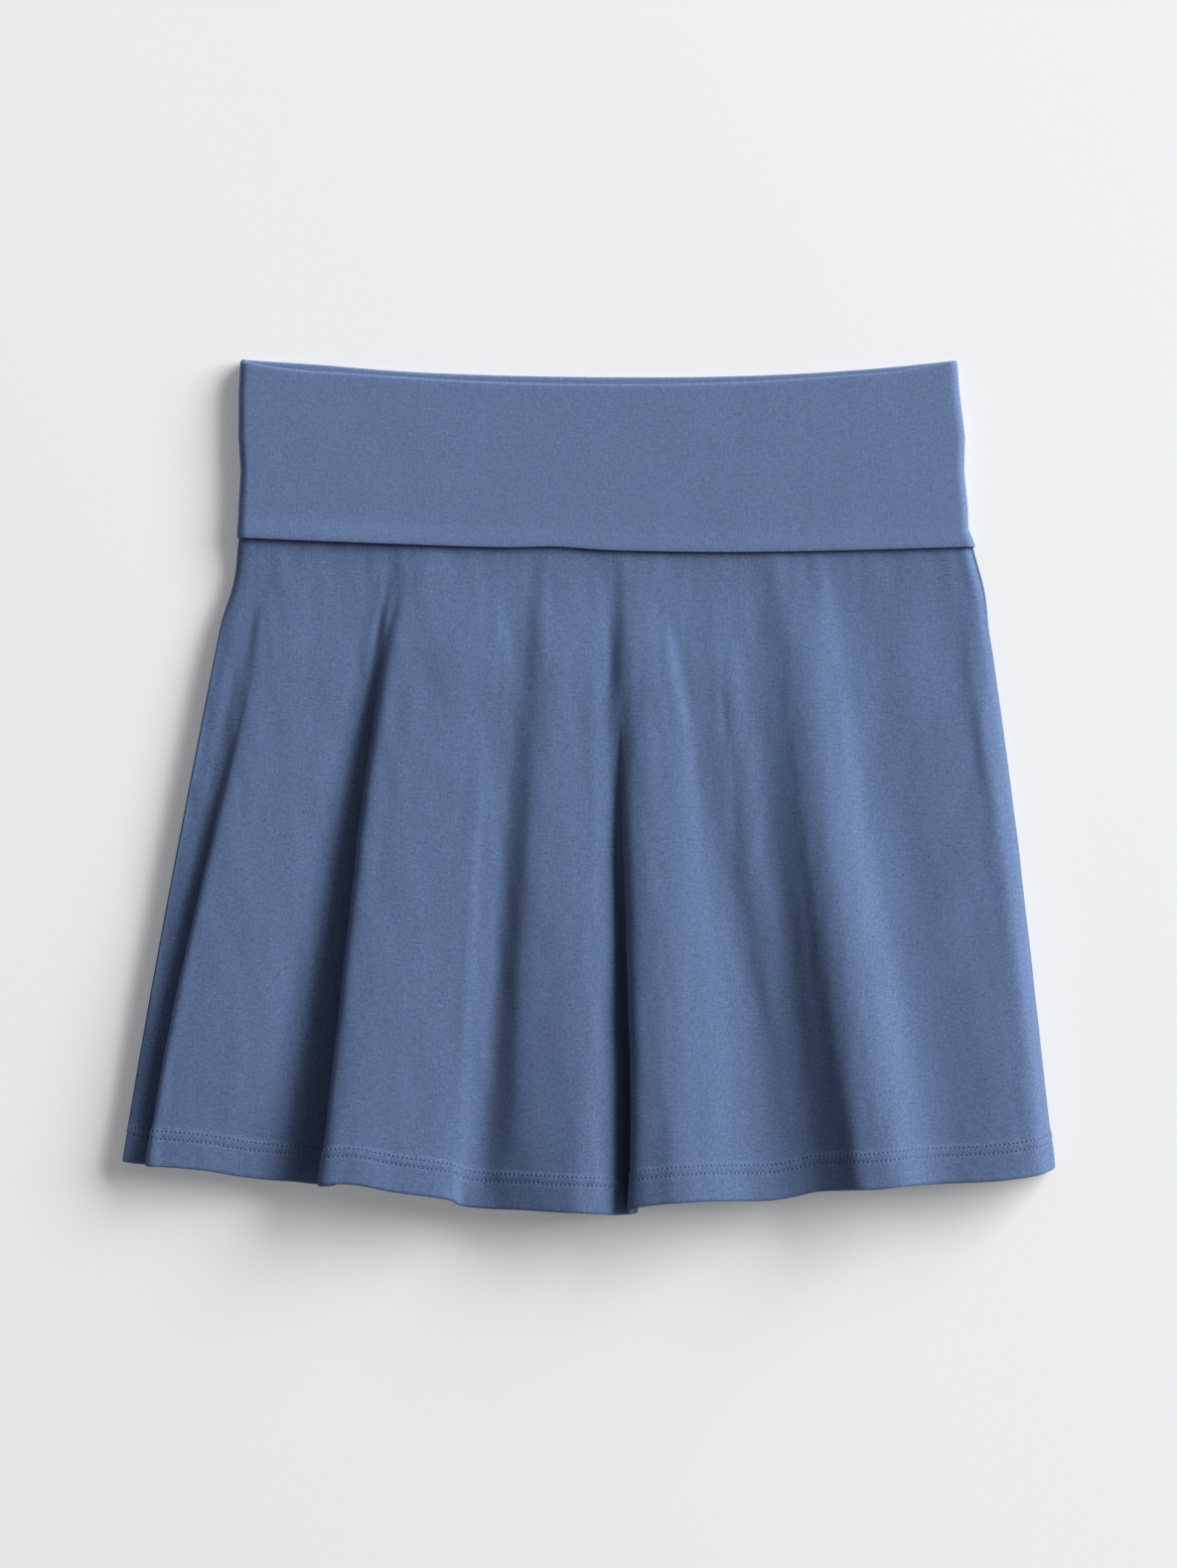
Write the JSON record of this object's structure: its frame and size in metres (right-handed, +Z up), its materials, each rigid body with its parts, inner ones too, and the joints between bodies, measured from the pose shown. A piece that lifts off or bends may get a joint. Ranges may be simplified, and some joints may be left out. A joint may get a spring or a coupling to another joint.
{
  "type": "knit skort with a fold-over waistband",
  "caption": "Girl's knit skort laid flat, with a wide fold-over waistband, a flared skirt in soft folds and shorts inside.",
  "frame": {"origin": "on the surface that the skort lies on, under the middle of its overall width and length", "axes": "+X to the right of the front as seen from above, +Y from the hem towards the waist, +Z up from the surface out of the front"},
  "size_m": [0.3517, 0.3212, 0.0236],
  "materials": {
    "skirt_jersey": "matt slate-blue cotton jersey",
    "waistband_jersey": "matt slate-blue cotton jersey used double",
    "shorts_jersey": "matt slate-blue cotton jersey"
  },
  "bodies": {
    "root": {"skirt_front": "skirt_jersey", "skirt_back": "skirt_jersey", "waistband_front": "waistband_jersey", "waistband_back": "waistband_jersey", "shorts_front_left": "shorts_jersey", "shorts_front_right": "shorts_jersey", "shorts_back_left": "shorts_jersey", "shorts_back_right": "shorts_jersey"}
  },
  "joints": []
}
